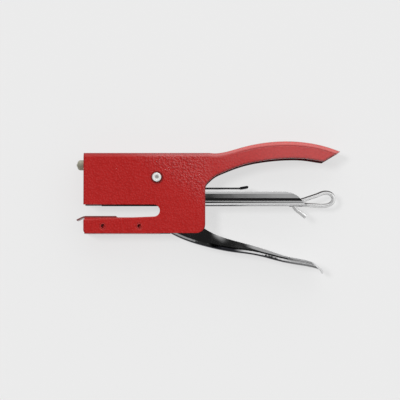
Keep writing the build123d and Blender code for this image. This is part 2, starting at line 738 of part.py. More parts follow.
# Staple rail, a slotted tube on the magazine floor
rail_half = STAPLE_CROWN / 2 - STAPLE_WIRE - STAPLE_PLAY
rail_round = MAG_ROUND - MAG_SHEET
rail_roof = rail_top - RAIL_SHEET
rail_floor = mag_floor + RAIL_SHEET
rail_inner = rail_half - RAIL_SHEET
staple_rail = along_x(gutter_section(rail_half, mag_floor, rail_top, rail_round, 0), -rail_front, rail_rear)
rail_inside = gutter_section(rail_inner, rail_floor, rail_roof, rail_round - RAIL_SHEET, 0)
staple_rail -= along_x(rail_inside, -rail_front - 1, rail_rear + 1)
slot_end = rail_rear - RAIL_SLOT_LAND
staple_rail -= block(-rail_front - 1, slot_end, rail_roof - 1, 0, -RAIL_SLOT_HALF, RAIL_SLOT_HALF)
staple_rail -= block(-rail_front - 1, -nose_cut_x, mag_low - 1, nose_cut_y, -mag_out, mag_out)

# Driver blade in the slot between guide and rail, with a window for the tongue
driver_front = -mag_front + DRIVER_PLAY
driver_half = mag_in - DRIVER_SIDE_PLAY
window_low = TONGUE_HEIGHT - LEVER_SHEET / 2 - WINDOW_PLAY
window_high = TONGUE_HEIGHT + LEVER_SHEET / 2 + WINDOW_PLAY
window_half = TONGUE_HALF + WINDOW_PLAY
driver_rear = driver_front + DRIVER_SHEET
driver_blade = block(driver_front, driver_rear, -DRIVER_TIP, DRIVER_TOP, -driver_half, driver_half)
driver_blade -= block(driver_front - 1, driver_rear + 1, window_low, window_high, -window_half, window_half)
driver_blade = fillet(
    driver_blade.edges().filter_by(Axis.X).filter_by(lambda e: e.center().Y > DRIVER_TOP - 0.01), 1.5
)

# Pull wire: rod inside the rail, eye behind the magazine and a hooked tail through the floor notch
rod_y = (rail_roof + rail_floor) / 2
straight_end = rail_rear + ROD_OVERRUN
eye_low = mag_low + EYE_LIFT
eye = (MAG_REAR + EYE_BEHIND, eye_low + EYE_RADIUS)
strand_heading = 180 + EYE_SLOPE
strand_start = polar(eye, EYE_RADIUS, 90 + EYE_SLOPE)
strand_length = (strand_start[0] - (MAG_REAR - TAIL_SETBACK)) / math.cos(math.radians(EYE_SLOPE))
strand_end = polar(strand_start, strand_length, strand_heading)
tail_centre = polar(strand_end, TAIL_RADIUS, strand_heading + 90)
hook_start = polar(tail_centre, TAIL_RADIUS, TAIL_HEADING - 90)
hook_end = polar(hook_start, TAIL_LENGTH, TAIL_HEADING)
route = [
    (straight_end, rod_y, 0),
    (MAG_REAR - 1.5, 0.25 * rod_y + 0.75 * eye_low, 0),
    (eye[0] - EYE_RUN, eye_low, 0),
]
for angle, step in ((-90, 0.06), (-30, 0.17), (30, 0.3), (90 + EYE_SLOPE, 0.48)):
    route.append((*polar(eye, EYE_RADIUS, angle), step * WIRE_STEP))
for share, step in ((0.25, 0.68), (0.5, 0.86), (0.75, 0.97)):
    route.append((*polar(strand_start, share * strand_length, strand_heading), step * WIRE_STEP))
for share in (0, 1 / 3, 2 / 3, 1):
    heading = strand_heading + share * (TAIL_HEADING - strand_heading)
    route.append((*polar(tail_centre, TAIL_RADIUS, heading - 90), WIRE_STEP))
route.append((*hook_end, WIRE_STEP))
hook_way = polar((0, 0), 1, TAIL_HEADING)
rod_line = Line((-rod_front, rod_y, 0), (straight_end, rod_y, 0))
eye_line = Spline(route, tangents=[(1, 0, 0), (hook_way[0], hook_way[1], 0)])
wire_edges = [rod_line.edge(), eye_line.edge()]
pull_rod = tube_on(wire_edges, WIRE_RADIUS)

guide_half = rail_inner - (rail_round - RAIL_SHEET)
rod_guide = block(rail_rear - ROD_GUIDE_LENGTH, rail_rear, rail_floor, rail_roof, -guide_half, guide_half)
rod_guide -= bar_along_x(rod_y, 0, WIRE_RADIUS + WIRE_PLAY, 0, rail_rear + 1)

# Pusher saddle on the rail, its fin through the slot to the rod, and the clip that holds it
fin_front = -rod_front + CLIP_SHEET + 0.4
fin_rear = fin_front + FIN_LENGTH
saddle_low = rail_top + PUSHER_PLAY
skirt_in = rail_half + PUSHER_PLAY
skirt_out = skirt_in + PUSHER_SKIRT
pusher_rear = -pusher_front + PUSHER_LENGTH
pusher = block(-pusher_front, pusher_rear, saddle_low, saddle_low + PUSHER_SHEET, -skirt_out, skirt_out)
for side in (-1, 1):
    z0, z1 = sorted((side * skirt_in, side * skirt_out))
    pusher += block(-pusher_front, pusher_rear, rail_top - PUSHER_SKIRT_DROP, saddle_low, z0, z1)
pusher += block(fin_front, fin_rear, rod_y, saddle_low, -FIN_HALF, FIN_HALF)
boss_low = rail_floor + FIN_PLAY
boss_top = rail_roof - FIN_PLAY
pusher += block(fin_front, fin_rear, boss_low, boss_top, -FIN_BOSS_HALF, FIN_BOSS_HALF)
pusher -= bar_along_x(rod_y, 0, WIRE_RADIUS, -rod_front - 1, 0)

rod_clip = bar_along_x(rod_y, 0, CLIP_RADIUS, fin_front - CLIP_SHEET, fin_front)
rod_clip -= bar_along_x(rod_y, 0, WIRE_RADIUS, -rod_front - 1, 0)

# Pusher spring along the rod, from the fin to the guide block
push_radius = WIRE_RADIUS + PUSH_COIL_PLAY + PUSH_WIRE / 2
push_start = fin_rear + PUSH_WIRE / 2 + SPRING_END_GAP
push_end = rail_rear - ROD_GUIDE_LENGTH - PUSH_WIRE / 2 - SPRING_END_GAP
push_place = Plane(origin=(push_start, rod_y, 0), x_dir=(0, 1, 0), z_dir=(1, 0, 0))
push_pitch = (push_end - push_start) / PUSH_COILS
push_edges, _, _ = coil(push_place, push_radius, push_pitch, PUSH_COILS)
pusher_spring = tube_on(push_edges, PUSH_WIRE / 2)

# Clamp spring on its seat across the magazine, under the bridge
seat_top = mag_top + SEAT_SHEET
spring_seat = block(
    -CLAMP_X - SEAT_LENGTH / 2, -CLAMP_X + SEAT_LENGTH / 2, mag_top, seat_top, -mag_out, mag_out
)
spigot_radius = CLAMP_RADIUS - CLAMP_WIRE / 2 - SEAT_SPIGOT_PLAY
spigot = Rot(90, 0, 0) * Cylinder(spigot_radius, SEAT_SPIGOT_HEIGHT)
spring_seat += Pos(-CLAMP_X, seat_top + SEAT_SPIGOT_HEIGHT / 2, 0) * spigot
clamp_start = seat_top + CLAMP_WIRE / 2 + SPRING_END_GAP
clamp_end = bridge_top - LEVER_SHEET - CLAMP_WIRE / 2 - SPRING_END_GAP
clamp_place = Plane(origin=(-CLAMP_X, clamp_start, 0), x_dir=(1, 0, 0), z_dir=(0, 1, 0))
clamp_edges, _, _ = coil(clamp_place, CLAMP_RADIUS, (clamp_end - clamp_start) / CLAMP_COILS, CLAMP_COILS)
clamp_spring = tube_on(clamp_edges, CLAMP_WIRE / 2)

# Torsion spring on the bush: one leg under the shell's roof, the other under the bridge web
torsion_radius = bush_out + TORSION_PLAY + TORSION_WIRE / 2
torsion_turns = TORSION_COILS + 0.75
torsion_place = Plane(origin=(0, 0, -TORSION_PITCH * torsion_turns / 2), x_dir=(1, 0, 0), z_dir=(0, 0, 1))
turn_edges, (turn_start, start_way), (turn_end, end_way) = coil(
    torsion_place, torsion_radius, TORSION_PITCH, torsion_turns, math.radians(TORSION_LEG_ANGLE)
)
roof_under = HEAD_TOP - SHELL_SHEET - TORSION_WIRE / 2 - SPRING_END_GAP
web_under = bridge_top - LEVER_SHEET - TORSION_WIRE / 2 - SPRING_END_GAP
roof_leg = turn_start - start_way * ((turn_start.Y - roof_under) / start_way.Y)
web_leg = turn_end + end_way * ((web_under - turn_end.Y) / end_way.Y)
torsion_edges = [Edge.make_line(roof_leg, turn_start), *turn_edges, Edge.make_line(turn_end, web_leg)]
return_spring = tube_on(torsion_edges, TORSION_WIRE / 2)

# Catch leaf: eye rolled on a cross pin, flat strip and an upturned tip with a hem
eye_out = CATCH_PIN_RADIUS + TURNING_CLEARANCE + CATCH_SHEET
leaf_mid = catch_pin_y - eye_out + CATCH_SHEET / 2
rise_way = polar((0, 0), 1, CATCH_TIP_RISE)
rise_length = (CATCH_TIP_X - CATCH_BEAD - CATCH_BEND_X) / rise_way[0]
bead = (CATCH_BEND_X + rise_length * rise_way[0], leaf_mid + rise_length * rise_way[1])
leaf_view = trace(Polyline((CATCH_PIN_X, leaf_mid), (CATCH_BEND_X, leaf_mid), bead), line_width=CATCH_SHEET)
hem = (bead[0] - CATCH_HEM * rise_way[0], bead[1] - CATCH_HEM * rise_way[1])
leaf_view += trace(Line(hem, bead), line_width=2 * CATCH_BEAD)
for end in (hem, bead):
    leaf_view += Pos(*end) * Circle(CATCH_BEAD)
leaf_view += Pos(CATCH_PIN_X, catch_pin_y) * Circle(eye_out)
leaf_view -= Pos(CATCH_PIN_X, catch_pin_y) * Circle(CATCH_PIN_RADIUS + TURNING_CLEARANCE)
magazine_catch = slab(leaf_view, -CATCH_HALF, CATCH_HALF)
catch_pin = round_bar(CATCH_PIN_X, catch_pin_y, CATCH_PIN_RADIUS, -mag_out, mag_out)

pieces = {
    "body_shell": body_shell,
    "nose_plate": nose_plate,
    "nose_stud": nose_stud,
    "anvil_channel": anvil_channel,
    "anvil_plate": anvil_plate,
    "arm_rivet_front": arm_rivet_front,
    "arm_rivet_rear": arm_rivet_rear,
    "pivot_pin": pivot_pin,
    "pivot_bush": pivot_bush,
    "return_spring": return_spring,
    "lever": lever,
    "lever_bridge": lever_bridge,
    "magazine_channel": magazine_channel,
    "driver_guide": driver_guide,
    "staple_rail": staple_rail,
    "rod_guide": rod_guide,
    "spring_seat": spring_seat,
    "catch_pin": catch_pin,
    "clamp_spring": clamp_spring,
    "driver_blade": driver_blade,
    "pull_rod": pull_rod,
    "rod_clip": rod_clip,
    "pusher": pusher,
    "pusher_spring": pusher_spring,
    "magazine_catch": magazine_catch,
}

# Onto the table: the origin under the middle of the bounding box
boxes = [piece.bounding_box() for piece in pieces.values()]
low = [min(getattr(b.min, k) for b in boxes) for k in "XYZ"]
top = [max(getattr(b.max, k) for b in boxes) for k in "XYZ"]
shift = (-(low[0] + top[0]) / 2, -(low[1] + top[1]) / 2, -low[2])
os.makedirs("parts", exist_ok=True)
for name, piece in pieces.items():
    solids = piece.solids()
    placed = Pos(*shift) * (solids[0] if len(solids) == 1 else Compound(solids))
    export_step(placed, f"parts/{name}.step", write_pcurves=False)
    print(name, "solids", len(solids), "volume", round(piece.volume, 2))

print("overall", [round(t - b, 3) for b, t in zip(low, top)])
print("pivot at", [round(v, 4) for v in shift])
wound = {
    "pusher_spring": (push_edges, PUSH_WIRE / 2, math.pi * push_radius),
    "clamp_spring": (clamp_edges, CLAMP_WIRE / 2, math.pi * CLAMP_RADIUS),
    "return_spring": (torsion_edges, TORSION_WIRE / 2, math.pi * torsion_radius),
    "pull_rod": (wire_edges[1:], WIRE_RADIUS, 6 * WIRE_RADIUS),
}
for name, (edges, wire_radius, apart) in wound.items():
    print(name, "least gap to itself", round(self_gap(edges, wire_radius, apart), 3))
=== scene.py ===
import json
import math

import bpy
import numpy as np
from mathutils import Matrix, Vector


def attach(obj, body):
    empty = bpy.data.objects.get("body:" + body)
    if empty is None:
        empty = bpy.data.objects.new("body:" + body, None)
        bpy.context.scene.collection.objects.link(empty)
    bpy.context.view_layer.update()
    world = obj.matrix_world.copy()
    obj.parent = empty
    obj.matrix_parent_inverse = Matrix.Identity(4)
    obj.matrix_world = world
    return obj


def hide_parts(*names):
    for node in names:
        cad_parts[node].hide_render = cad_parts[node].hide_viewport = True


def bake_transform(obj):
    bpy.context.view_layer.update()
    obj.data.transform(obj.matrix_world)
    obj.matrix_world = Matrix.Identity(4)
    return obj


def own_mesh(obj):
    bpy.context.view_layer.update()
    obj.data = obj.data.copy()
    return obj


MM = 0.001

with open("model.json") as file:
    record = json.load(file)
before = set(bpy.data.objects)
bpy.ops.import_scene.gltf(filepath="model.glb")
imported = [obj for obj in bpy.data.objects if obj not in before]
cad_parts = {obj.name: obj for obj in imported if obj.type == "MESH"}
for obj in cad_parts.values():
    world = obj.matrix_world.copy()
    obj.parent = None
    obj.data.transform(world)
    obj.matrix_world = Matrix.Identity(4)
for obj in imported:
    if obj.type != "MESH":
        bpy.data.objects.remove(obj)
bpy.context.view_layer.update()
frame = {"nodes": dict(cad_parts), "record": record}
parts = frame["nodes"]
joints = {row["name"]: row for row in frame["record"]["behaviour"]["joints"]}
pivot = Vector(joints["lever_squeeze"]["pos_m"])

# Lengths are in millimetres unless MM turns them into metres. Places in the side view are from the pivot.
# Most pairs of values say where something starts and where it is full.

# Camera: almost straight above, a little towards the lever side of the picture's middle
TARGET = pivot + Vector((28.37, -14.54, 0.05)) * MM
CAMERA = pivot + Vector((28.37, -64.04, 1048.85)) * MM
PICTURE_WIDTH = 264 * MM
SENSOR = 36.0
CLIP_START = 0.01
CLIP_END = 20.0

# Room: shade along one direction overhead, a bright side beyond the handle and two panels behind the lever
BRIGHT_TURN = math.radians(45)
ROOM_SHADES = (
    (-1.0, 0.05),
    (-0.30, 0.02),
    (0.035, 0.02),
    (0.08, 0.50),
    (0.20, 0.75),
    (0.50, 1.00),
    (1.0, 1.6),
)
SIDE_LIGHT = 1.0
SIDE_SPAN = (0.35, 0.95)
PANEL_LIGHT = 1.0
PANEL_FROM = -0.50
PANEL_FULL = -0.62
PANEL_FOOT = (0.05, 0.20)
PANEL_GAP = 0.265
PANEL_GAP_HALF = 0.04
PANEL_GAP_BLUR = 0.04
PANEL_FAR = 0.4

# Lamp: soft, from above the nose end, so that it reaches down into the throat
LAMP_POWER = 2.0
LAMP_LEAN = (math.radians(-9), math.radians(-24), 0)
LAMP_SPREAD = math.radians(14)

# Ground: what the camera and mirrors see is mostly glow, so that shadows stay faint
FLOOR_GLOW = 0.645
FLOOR_SHADED = (0.165, 0.165, 0.165, 1)
FLOOR_COLOUR = (0.82, 0.82, 0.82, 1)
FLOOR_MOTTLE = 0.99
FLOOR_GRAIN = 2.0
FLOOR_ROUGHNESS = 0.9
FLOOR_HALF = 3.0

# Nodes: the span in which most values of noise lie, and the samples that round an edge
NOISE_SPAN = (0.3, 0.7)
EDGE_SAMPLES = 4

# Pressed shapes of the plated channels
MAGAZINE_TOP = -9.4
MAGAZINE_ROLL = 1.3
MAGAZINE_ROLL_SLOPE = 0.11
MAGAZINE_LOW = -18.9
MAGAZINE_FOOT = 2.0
MAGAZINE_FOOT_SLOPE = 0.23
MAGAZINE_STEP = (-15.95, -15.25)
MAGAZINE_STEP_HEIGHT = 0.08
MAGAZINE_BOW = 0.000176
MAGAZINE_BOW_START = 35.0
LEVER_SPAN = (20.0, 105.0)
LEVER_WALL = 5.0
LEVER_BAND = 2.0
LEVER_BAND_SLOPE = 0.035
LEVER_BAND_START = (57.0, 66.0)
LEVER_DENT = 4.6
LEVER_DENT_SLOPE = 0.028
LEVER_DENT_AT = 42.0
LEVER_DENT_HALF = 8.0
LEVER_SCUFF = 0.45
LEVER_SCUFF_START = (80.0, 93.0)

# Painted dark reflection on the lower folds of the plated channels: slopes of the fold, and its distance
# from the middle plane
FOLD_SHADE_COLOUR = (0.025, 0.025, 0.03, 1)
MAGAZINE_UNDER = (-0.66, -0.75)
MAGAZINE_FOLD = (4.8, 5.3)
MAGAZINE_SHADE_FADE = (48.0, 64.0)
MAGAZINE_SHADE_END_SHARE = 0.4
LEVER_UNDER = (-0.58, -0.70)
LEVER_FOLD = (5.4, 6.2)
LEVER_UNDER_END_SHARE = 0.7
LEVER_DARK_SLOPES = (-0.05, -0.2)
LEVER_DARK_START = (33.0, 37.0)
LEVER_DARK_END = (60.0, 50.0)

# Metals: rounding of their edges, clouds in their gloss, and depth and direction of their grain
METAL_EDGE = 0.25
CLOUD_SIZE = 9.0
GRAIN_DETAIL = 4
GRAIN_ROUGHNESS = 0.6
GRAIN_DEPTH = 0.01
GRAIN_STRENGTH = 0.25
ROUND_GRAIN = (1, 1, 1)
ROLLED_GRAIN = (0.1, 1, 1)
DRAWN_GRAIN = (0.08, 1, 1)

# The pull wire has painted shade on its upper side, most of all high up on the eye, and a little round its
# flanks
WIRE_SIDES = (0.7, 0.35)
WIRE_SIDE_SHARE = 0.35
WIRE_UPPER = (0.15, 0.55)
WIRE_RISE = (-22.5, -12.5)
WIRE_SHADE_COLOUR = (0.05, 0.045, 0.045, 1)

# The pin has painted shade in its dimple and on its rim, and a painted shadow lies round its head
PIN_DIMPLE = (1.7, 0.9)
PIN_DIMPLE_SHARE = 0.6
PIN_RIM = (2.7, 3.1)
PIN_RIM_SHARE = 0.9
PIN_SHADE_COLOUR = (0.07, 0.03, 0.03, 1)
# Painted shadow round the pin's head, shifted to one side
PIN_SHADOW_SHIFT = (0.3, -0.15)
PIN_SHADOW = (4.8, 3.5)
PIN_SHADOW_SHARE = 0.8
PIN_SHADOW_COLOUR = (0.10, 0.006, 0.006, 1)

# Hammertone paint: dimples between ridges, fine grain, broad patches, and painted shade inside the fold
DIMPLE_SIZE = 1.25
DIMPLE_BLUR = 0.6
DIMPLE_DEPTH = 0.22
DIMPLE_STRENGTH = 0.8
DIMPLE_SHARE = 0.7
FINE_SIZE = 0.7
FINE_SHARE = 0.3
BROAD_SIZE = 14.0
BROAD_SPAN = (0.35, 0.65)
BROAD_SHARE = 0.35
RIDGE_SPAN = (0.1, 0.75)
DIMPLE_COLOUR = (0.39, 0.0185, 0.0175, 1)
RIDGE_COLOUR = (0.34, 0.0145, 0.0135, 1)
BROAD_COLOUR = (0.39, 0.020, 0.019, 1)
INSIDE_SPAN = (-2 * MM, -6 * MM)
INSIDE_SHADE_COLOUR = (0.07, 0.005, 0.005, 1)
PAINT_ROUGHNESS = (0.09, 0.15)
PAINT_EDGE = 0.45

# Paint that the hand has polished, which is glossier and has a painted sheen in its colour: from the head
# towards the handle, on the sides of the tool
POLISH_WAY = (0.6, 0.8)
POLISH_SPAN = (-8.0, 20.0)
POLISH_GLOSS = (0.32, 1.2)
POLISH_ROUGHNESS = 0.08
POLISH_DIMPLES = 2.0
SIDE_LEAN = (0.1, 0.4)
HANDLE_START = (40.0, 65.0)
HANDLE_GLOSS = -0.4
SHEEN_COLOUR = (0.43, 0.019, 0.018, 1)
SHEEN_HEAD_SHARE = 0.5
SHEEN_HANDLE_SHARE = 0.1
SMOOTH_START = (26.0, 38.0)
SMOOTH_SHARE = 0.2
SPECK_SPAN = (0.45, 0.7)
SPECK_POLISH = (0.1, 0.8)
SPECK_SHARE = 0.45
SPECK_COLOUR = (0.26, 0.008, 0.009, 1)

# Sheet edges: painted shade where they turn down the picture or end the head, a painted highlight where
# they turn up
EDGE_WIDTH = 2.0
DARK_EDGE_START = (28.0, 33.0)
DARK_EDGE_LEAN = (-0.1, -0.35)
DARK_EDGE_SHARE = 0.9
EDGE_SHADE_COLOUR = (0.09, 0.005, 0.007, 1)
PALE_EDGE_LEAN = (0.15, 0.5)
PALE_EDGE_SHARE = 0.55
EDGE_HIGHLIGHT_COLOUR = (0.50, 0.075, 0.07, 1)
END_LEAN = (0.15, 0.5)
NOSE_END = (-38.0, -42.0)
REAR_END = (20.0, 26.0)
END_SHARE = 0.7
END_SHADE_COLOUR = (0.15, 0.012, 0.013, 1)

# Painted shade darkens the roof of the head, and a painted highlight makes the crest of the handle pale
CREST_LEAN = (0.2, 0.7)
CREST_START = (25.0, 60.0)
ROOF_SHARE = 0.6
ROOF_SHADE_COLOUR = (0.22, 0.010, 0.010, 1)
ROOF_GLOSS = (-0.1, -0.4)
CREST_SHARE = 0.5
CREST_HIGHLIGHT_COLOUR = (0.60, 0.10, 0.085, 1)

# Crease under the handle's crest: a shallow groove in the relief, with painted shade along it
HANDLE_SPAN = (45.0, 117.0)
HANDLE_WALL = 0.0
CREASE_DROP = 3.2
CREASE_HALF = 0.35
CREASE_START = (50.0, 62.0)
CREASE_SHADE_SHARE = 0.5
CREASE_SHADE_COLOUR = (0.16, 0.008, 0.008, 1)

# Outlines that the shapes follow are polynomials through steps along a piece
OUTLINE_STEPS = 40
OUTLINE_DEGREE = 5


def add(tree, kind, inputs=None, **settings):
    """New node with its settings, and with inputs set to values or linked to sockets."""
    made = tree.nodes.new(kind)
    for key, value in settings.items():
        setattr(made, key, value)
    for key, value in (inputs or {}).items():
        if isinstance(value, bpy.types.NodeSocket):
            tree.links.new(value, made.inputs[key])
        else:
            made.inputs[key].default_value = value
    return made


def maths(tree, operation, a, b=0.0, c=0.0):
    return add(tree, "ShaderNodeMath", {0: a, 1: b, 2: c}, operation=operation).outputs[0]


def plus(tree, a, b):
    return maths(tree, "ADD", a, b)


def minus(tree, a, b):
    return maths(tree, "SUBTRACT", a, b)


def times(tree, a, b):
    return maths(tree, "MULTIPLY", a, b)


def most(tree, a, b):
    return maths(tree, "MAXIMUM", a, b)


def apart(tree, a, b):
    """How far two values are apart."""
    return maths(tree, "ABSOLUTE", minus(tree, a, b))


def remap(tree, value, low, high, to_low=0.0, to_high=1.0, way="SMOOTHSTEP"):
    spans = {"Value": value, "From Min": low, "From Max": high, "To Min": to_low, "To Max": to_high}
    return add(tree, "ShaderNodeMapRange", spans, interpolation_type=way).outputs["Result"]


def mixed(tree, factor, a, b):
    """Colour between a and b."""
    return add(tree, "ShaderNodeMix", {0: factor, 6: a, 7: b}, data_type="RGBA").outputs[2]


def axes(tree, vector):
    return add(tree, "ShaderNodeSeparateXYZ", {0: vector}).outputs


def noise(tree, place, size, detail=2.0, roughness=0.5):
    """Noise whose features are about size across."""
    inputs = {"Vector": place, "Scale": 1 / (size * MM), "Detail": detail, "Roughness": roughness}
    return add(tree, "ShaderNodeTexNoise", inputs).outputs["Fac"]


def bump(tree, height, depth, normal, strength=1.0):
    """Normal that is bent by a height, which is depth at 1."""
    inputs = {"Height": height, "Distance": depth * MM, "Strength": strength, "Normal": normal}
    return add(tree, "ShaderNodeBump", inputs).outputs["Normal"]


def soft_edge(tree, radius):
    """Normal that rounds sharp sheet edges."""
    return add(tree, "ShaderNodeBevel", {"Radius": radius * MM}, samples=EDGE_SAMPLES).outputs["Normal"]


def side_view(tree, place):
    """Places along and up the tool's side view, from the pivot."""
    at = axes(tree, place)
    return [times(tree, minus(tree, at[key], middle), 1 / MM) for key, middle in zip("XY", pivot)]


def distance(tree, place, middle=(0.0, 0.0)):
    """Distance from a point in the side view."""
    across, up = [minus(tree, at, m) for at, m in zip(side_view(tree, place), middle)]
    return maths(tree, "SQRT", maths(tree, "MULTIPLY_ADD", across, across, times(tree, up, up)))


def from_middle(tree, place):
    """Distance from the tool's middle plane."""
    return times(tree, apart(tree, axes(tree, place)["Z"], pivot.z), 1 / MM)


def outline(node, span, beyond):
    """Upper edge of a piece in the side view, among the parts that lie beyond a height.
    Returns its middle, half length and coefficients."""
    mesh = parts[node].data
    places = (np.array([v.co[:] for v in mesh.vertices]) - np.array(pivot)) / MM
    ends = places[np.array([edge.vertices[:] for edge in mesh.edges])]
    steps = np.linspace(*span, OUTLINE_STEPS)
    heights = []
    for x in steps:
        from_x = ends - (x, 0, 0)
        start, end = from_x[from_x[:, 0, 0] * from_x[:, 1, 0] < 0].transpose(1, 0, 2)
        share = start[:, :1] / (start[:, :1] - end[:, :1])
        met = start + share * (end - start)
        heights.append(met[met[:, 2] > beyond, 1].max())
    middle = sum(span) / 2
    half = (span[1] - span[0]) / 2
    return middle, half, np.polyfit((steps - middle) / half, heights, OUTLINE_DEGREE)


def curve(tree, x, line):
    """Height of an outline at x."""
    middle, half, coefficients = line
    u = maths(tree, "DIVIDE", minus(tree, x, middle), half)
    value = float(coefficients[0])
    for coefficient in coefficients[1:]:
        value = maths(tree, "MULTIPLY_ADD", value, u, float(coefficient))
    return value


def material(name):
    """Empty principled material. Returns it, its tree, its shader, and place and normal on the piece."""
    made = bpy.data.materials.new(name)
    made.use_nodes = True
    tree = made.node_tree
    tree.nodes.clear()
    shader = add(tree, "ShaderNodeBsdfPrincipled")
    add(tree, "ShaderNodeOutputMaterial", {"Surface": shader.outputs[0]})
    on_piece = add(tree, "ShaderNodeTexCoord").outputs
    return made, tree, shader, on_piece["Object"], on_piece["Normal"]


def inside_shade(tree, place, normal):
    """How far a surface lies inside the folded sheet, where it faces the middle plane. There the paint
    takes painted shade.
    """
    up = minus(tree, axes(tree, place)["Z"], pivot.z)
    return remap(tree, times(tree, up, axes(tree, normal)["Z"]), *INSIDE_SPAN)


def handle_crease(tree, x, y):
    """Fine line that follows the handle's crest a little below it, where a groove and painted shade go."""
    crest = curve(tree, x, outline("body_shell", HANDLE_SPAN, HANDLE_WALL))
    off = apart(tree, minus(tree, crest, y), CREASE_DROP)
    return times(tree, remap(tree, off, CREASE_HALF, 0), remap(tree, x, *CREASE_START))


def edge_layers(tree, x, normal):
    """Shares and colours of the painted shade and highlight on the sheet's edges, from how far a wide
    rounding would lean them.
    """
    flat = axes(tree, normal)
    rounded = axes(tree, soft_edge(tree, EDGE_WIDTH))
    lean = minus(tree, rounded["Y"], flat["Y"])
    end_lean = apart(tree, rounded["X"], flat["X"])
    at_end = plus(tree, remap(tree, x, *NOSE_END), remap(tree, x, *REAR_END))
    dark_end = times(tree, remap(tree, end_lean, *END_LEAN), at_end)
    dark_edge = remap(tree, lean, *DARK_EDGE_LEAN, 0, DARK_EDGE_SHARE)
    return (
        (times(tree, dark_end, END_SHARE), END_SHADE_COLOUR),
        (times(tree, dark_edge, remap(tree, x, *DARK_EDGE_START)), EDGE_SHADE_COLOUR),
        (remap(tree, lean, *PALE_EDGE_LEAN, 0, PALE_EDGE_SHARE), EDGE_HIGHLIGHT_COLOUR),
    )


def hammertone():
    """Red paint that dried in small dimples, with painted shade inside the folded sheet, along its edges,
    in the crease and on the roof, a painted shadow round the pin, and a painted sheen and highlights
    towards the handle.
    """
    made, tree, shader, place, normal = material("red_hammertone")
    x, y = side_view(tree, place)
    cells = add(
        tree, "ShaderNodeTexVoronoi",
        {"Vector": place, "Scale": 1 / (DIMPLE_SIZE * MM), "Smoothness": DIMPLE_BLUR},
        feature="SMOOTH_F1",
    ).outputs["Distance"]
    fine = noise(tree, place, FINE_SIZE)
    broad = noise(tree, place, BROAD_SIZE)

    # Where the paint is polished and has a painted sheen, where it is smooth, and where it is on top of
    # the head and the handle
    along = maths(tree, "MULTIPLY_ADD", x, POLISH_WAY[0], times(tree, y, POLISH_WAY[1]))
    facing = remap(tree, maths(tree, "ABSOLUTE", axes(tree, normal)["Z"]), *SIDE_LEAN)
    # mask for the glossier paint and for the painted sheen
    polish_and_sheen = times(tree, remap(tree, along, *POLISH_SPAN), facing)
    dimpled = remap(tree, x, *SMOOTH_START, 1, SMOOTH_SHARE)
    crease = handle_crease(tree, x, y)
    top = times(tree, remap(tree, axes(tree, normal)["Y"], *CREST_LEAN), facing)
    on_head = times(tree, top, remap(tree, x, *CREST_START, 1, 0))
    on_handle = times(tree, top, remap(tree, x, *CREST_START))

    # Colour, one layer over the other; the inside, sheen, crease, edge, roof, crest and pin layers are
    # painted light and shade
    sheen = remap(tree, x, *HANDLE_START, SHEEN_HEAD_SHARE, SHEEN_HANDLE_SHARE)
    specked = times(tree, remap(tree, polish_and_sheen, *SPECK_POLISH, 0, SPECK_SHARE), dimpled)
    # painted shadow round the pin's head
    pin_shadow = remap(tree, distance(tree, place, PIN_SHADOW_SHIFT), *PIN_SHADOW)
    layers = (
        (remap(tree, broad, *BROAD_SPAN, 0, BROAD_SHARE), BROAD_COLOUR),
        # painted shade inside the folded sheet
        (inside_shade(tree, place, normal), INSIDE_SHADE_COLOUR),
        # painted sheen where the paint is polished, stronger on the head than on the handle
        (times(tree, polish_and_sheen, sheen), SHEEN_COLOUR),
        # dark specks in the dimples, which follow the painted sheen
        (times(tree, remap(tree, cells, *SPECK_SPAN), specked), SPECK_COLOUR),
        # painted shade in the crease
        (times(tree, crease, CREASE_SHADE_SHARE), CREASE_SHADE_COLOUR),
        # painted shade and painted highlight along the sheet edges
        *edge_layers(tree, x, normal),
        # painted shade on the roof of the head, painted highlight on the crest of the handle
        (times(tree, on_head, ROOF_SHARE), ROOF_SHADE_COLOUR),
        (times(tree, on_handle, CREST_SHARE), CREST_HIGHLIGHT_COLOUR),
        (times(tree, pin_shadow, PIN_SHADOW_SHARE), PIN_SHADOW_COLOUR),
    )
    tone = mixed(tree, remap(tree, cells, *RIDGE_SPAN), DIMPLE_COLOUR, RIDGE_COLOUR)
    for share, colour in layers:
        tone = mixed(tree, share, tone, colour)
    tree.links.new(tone, shader.inputs["Base Color"])

    # Gloss
    rough = remap(tree, fine, *NOISE_SPAN, *PAINT_ROUGHNESS)
    rough = plus(tree, rough, times(tree, polish_and_sheen, POLISH_ROUGHNESS))
    tree.links.new(rough, shader.inputs["Roughness"])
    handle_gloss = times(tree, polish_and_sheen, remap(tree, x, *HANDLE_START, 0, HANDLE_GLOSS))
    gloss = plus(tree, remap(tree, polish_and_sheen, 0, 1, *POLISH_GLOSS), handle_gloss)
    gloss = maths(tree, "MULTIPLY_ADD", on_head, remap(tree, polish_and_sheen, 0, 1, *ROOF_GLOSS), gloss)
    tree.links.new(gloss, shader.inputs["Specular IOR Level"])

    # Relief
    height = plus(tree, times(tree, cells, DIMPLE_SHARE), times(tree, fine, FINE_SHARE))
    height = times(tree, height, remap(tree, polish_and_sheen, 0, 1, 1, POLISH_DIMPLES))
    height = minus(tree, times(tree, height, dimpled), crease)
    relief = bump(tree, height, DIMPLE_DEPTH, soft_edge(tree, PAINT_EDGE), DIMPLE_STRENGTH)
    tree.links.new(relief, shader.inputs["Normal"])
    return made


